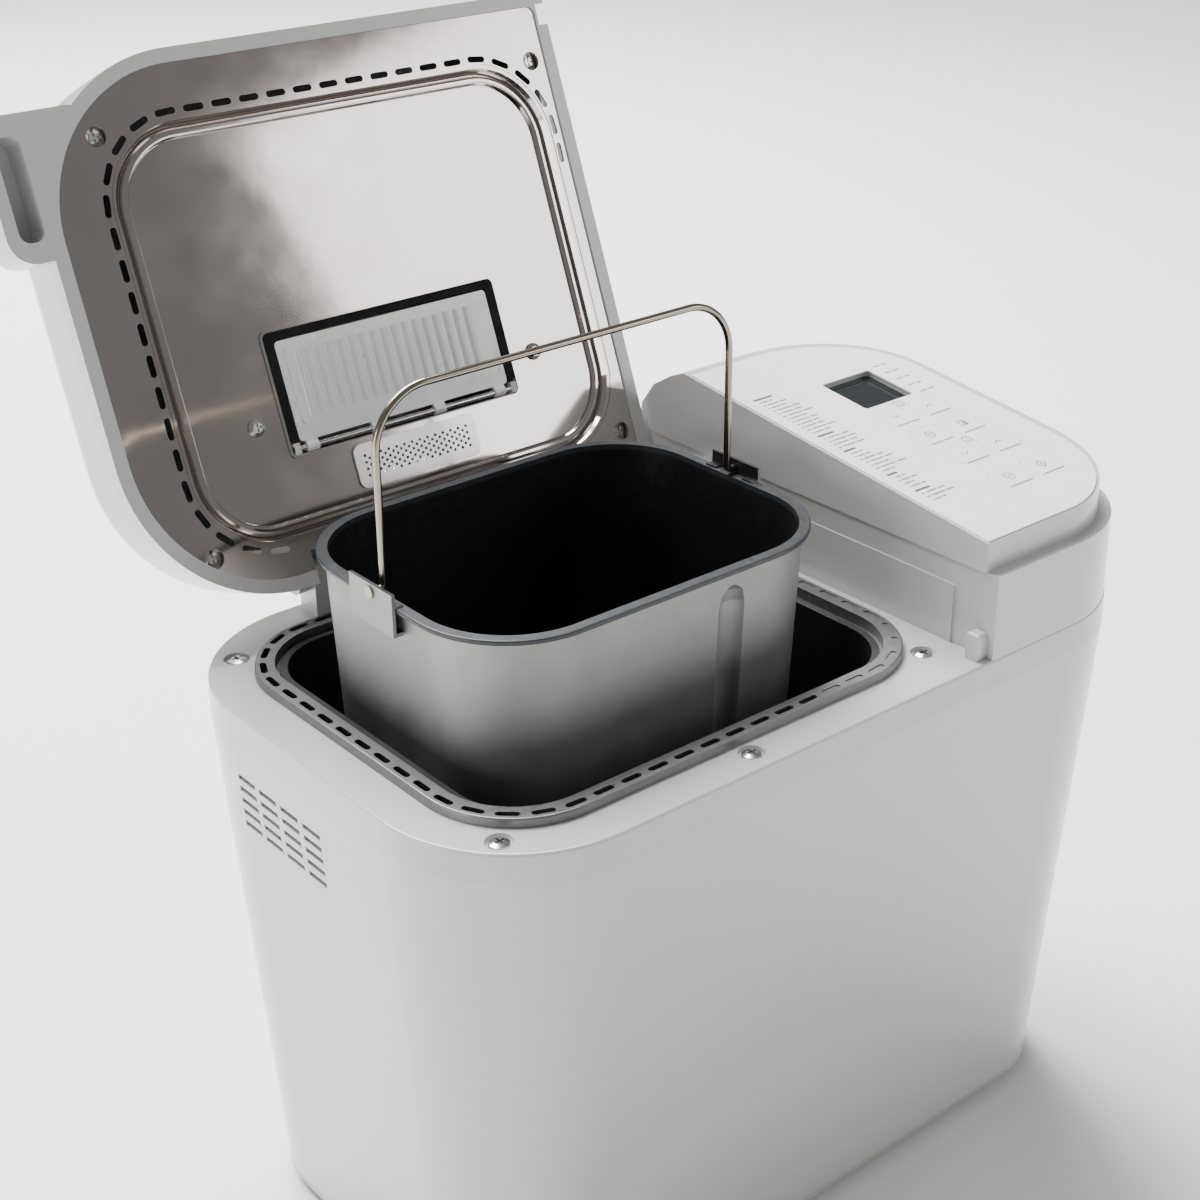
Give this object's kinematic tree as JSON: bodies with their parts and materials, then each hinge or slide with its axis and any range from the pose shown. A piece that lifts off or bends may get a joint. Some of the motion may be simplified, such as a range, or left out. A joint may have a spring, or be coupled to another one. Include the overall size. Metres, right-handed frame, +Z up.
{
  "type": "bread machine",
  "caption": "Bread machine with a side control tower, hinged stainless-lined lid with an ingredient bin, and a lift-out kneading pan with a wire bail.",
  "frame": {"origin": "on the floor under the middle of the casing", "axes": "+X towards the control tower, +Y to the back and the lid hinge, +Z up; the lid stands open and the pan is lifted"},
  "size_m": [0.4322, 0.355, 0.5319],
  "materials": {
    "white_shell": "gloss",
    "base_plastic": "satin",
    "rubber_feet": "matte",
    "zinc_screws": "polished",
    "black_gland": "satin",
    "panel_skin": "satin",
    "key_caps": "satin",
    "stop_cap": "satin",
    "display_glass": "gloss",
    "display_dark": "matte",
    "circuit_board": "satin",
    "ring_alloy": "satin",
    "liner_steel": "satin",
    "heater_sheath": "matte",
    "sensor_brass": "satin",
    "seat_alloy": "cast",
    "chassis_steel": "galvanised",
    "shaft_steel": "ground",
    "pulley_nylon": "satin",
    "motor_pulley_alloy": "turned",
    "belt_rubber": "matte",
    "motor_paint": "satin",
    "capacitor_case": "satin",
    "coupling_iron": "satin",
    "shield_alloy": "satin",
    "lid_stainless": "mirror",
    "bin_plastic": "satin",
    "bin_seal": "matte",
    "flap_paint": "satin",
    "solenoid_case": "satin",
    "pan_alloy": "satin",
    "bracket_alloy": "satin",
    "bail_wire": "polished",
    "blade_coat": "non-stick"
  },
  "bodies": {
    "casing": {"base_plate": "base_plastic", "base_screws": "zinc_screws", "bearing_housing": "seat_alloy", "body_shell": "white_shell", "chamber_ring": "ring_alloy", "control_cap": "white_shell", "cord_gland": "black_gland", "deck_screws": "zinc_screws", "display_board": "circuit_board", "drive_belt": "belt_rubber", "drive_chassis": "chassis_steel", "feet": "rubber_feet", "heat_shield": "shield_alloy", "heater_clips": "liner_steel", "heater_element": "heater_sheath", "hinge_brackets": "white_shell", "hinge_pins": "zinc_screws", "lcd_module": "display_dark", "lcd_window": "display_glass", "motor": "motor_paint", "motor_capacitor": "capacitor_case", "oven_liner": "liner_steel", "pan_seat": "seat_alloy", "panel_overlay": "panel_skin", "power_board": "circuit_board", "shaft_bushes": "sensor_brass", "temperature_sensor": "sensor_brass", "top_frame": "white_shell"},
    "drive": {"chamber_pulley": "pulley_nylon", "drive_shaft": "shaft_steel", "drive_coupling": "coupling_iron"},
    "motor_drive": {"motor_pulley": "motor_pulley_alloy"},
    "lid": {"lid_frame": "white_shell", "lid_cover": "white_shell", "lid_grip": "white_shell", "lid_inner_plate": "lid_stainless", "lid_screws": "zinc_screws", "steam_grille": "lid_stainless", "dispenser_bin": "bin_plastic", "dispenser_seal": "bin_seal", "flap_pin": "zinc_screws", "flap_solenoid": "solenoid_case"},
    "bin_flap": {"dispenser_flap": "flap_paint"},
    "latch": {"latch_plunger": "shaft_steel"},
    "bin_door": {"dispenser_door": "white_shell"},
    "pan": {"pan_body": "pan_alloy", "pan_brackets": "bracket_alloy", "pan_base_ring": "seat_alloy", "shaft_seal": "sensor_brass"},
    "bail": {"pan_bail": "bail_wire"},
    "blade": {"pan_shaft": "shaft_steel", "kneading_blade": "blade_coat"},
    "menu_down_button": {"menu_down_key": "key_caps"},
    "menu_up_button": {"menu_up_key": "key_caps"},
    "crust_button": {"crust_key": "key_caps"},
    "size_button": {"size_key": "key_caps"},
    "timer_down_button": {"timer_down_key": "key_caps"},
    "timer_up_button": {"timer_up_key": "key_caps"},
    "stop_button": {"stop_key": "stop_cap"},
    "start_button": {"start_key": "key_caps"}
  },
  "joints": [
    {"name": "lid_hinge", "type": "hinge", "parent": "casing", "child": "lid", "pos_m": [0, 0.1144, 0.2993], "axis": [1, 0, 0], "range_deg": [0, 111.3]},
    {"name": "pan_lift", "type": "slide", "parent": "casing", "child": "pan", "axis": [0.0566, -0.0453, -0.9974], "range_m": [0, 0.0796]},
    {"name": "bail_fold", "type": "hinge", "parent": "pan", "child": "bail", "pos_m": [-0.0617, 0.0014, 0.3447], "axis": [1, 0, 0], "range_deg": [0, 90.1]},
    {"name": "drive_spin", "type": "hinge", "parent": "casing", "child": "drive", "pos_m": [-0.0572, -0.0022, 0.06], "axis": [0, 0, 1], "continuous": true},
    {"name": "motor_spin", "type": "hinge", "parent": "casing", "child": "motor_drive", "pos_m": [0.124, -0.0022, 0.06], "axis": [0, 0, 1], "continuous": true},
    {"name": "blade_spin", "type": "hinge", "parent": "pan", "child": "blade", "pos_m": [-0.0617, 0.0014, 0.2103], "axis": [0, 0, 1], "continuous": true},
    {"name": "flap_hinge", "type": "hinge", "parent": "lid", "child": "bin_flap", "pos_m": [-0.0572, 0.12706, 0.35683], "axis": [1, 0, 0], "range_deg": [0, 80], "stiffness_Nm_per_rad": 0.004, "springref_deg": -34.38},
    {"name": "latch_slide", "type": "slide", "parent": "lid", "child": "latch", "axis": [-1, 0, 0], "range_m": [0, 0.0035], "stiffness_N_per_m": 60},
    {"name": "door_hinge", "type": "hinge", "parent": "lid", "child": "bin_door", "pos_m": [-0.0572, 0.16888, 0.327], "axis": [-1, 0, 0], "range_deg": [0, 100]},
    {"name": "menu_down_press", "type": "slide", "parent": "casing", "child": "menu_down_button", "axis": [0, 0.1184, -0.993], "range_m": [0, 0.0004], "stiffness_N_per_m": 800},
    {"name": "menu_up_press", "type": "slide", "parent": "casing", "child": "menu_up_button", "axis": [0, 0.1184, -0.993], "range_m": [0, 0.0004], "stiffness_N_per_m": 800},
    {"name": "crust_press", "type": "slide", "parent": "casing", "child": "crust_button", "axis": [0, 0.1184, -0.993], "range_m": [0, 0.0004], "stiffness_N_per_m": 800},
    {"name": "size_press", "type": "slide", "parent": "casing", "child": "size_button", "axis": [0, 0.1184, -0.993], "range_m": [0, 0.0004], "stiffness_N_per_m": 800},
    {"name": "timer_down_press", "type": "slide", "parent": "casing", "child": "timer_down_button", "axis": [0, 0.1184, -0.993], "range_m": [0, 0.0004], "stiffness_N_per_m": 800},
    {"name": "timer_up_press", "type": "slide", "parent": "casing", "child": "timer_up_button", "axis": [0, 0.1184, -0.993], "range_m": [0, 0.0004], "stiffness_N_per_m": 800},
    {"name": "stop_press", "type": "slide", "parent": "casing", "child": "stop_button", "axis": [0, 0.1184, -0.993], "range_m": [0, 0.0004], "stiffness_N_per_m": 800},
    {"name": "start_press", "type": "slide", "parent": "casing", "child": "start_button", "axis": [0, 0.1184, -0.993], "range_m": [0, 0.0004], "stiffness_N_per_m": 800}
  ],
  "couplings": [
    {"joint": "pan_lift", "follows": "lid_hinge", "m_per_rad": 0.04093},
    {"joint": "bail_fold", "follows": "lid_hinge", "ratio": 0.80863},
    {"joint": "motor_spin", "follows": "drive_spin", "ratio": 5.2727},
    {"joint": "blade_spin", "follows": "drive_spin", "ratio": 1}
  ]
}
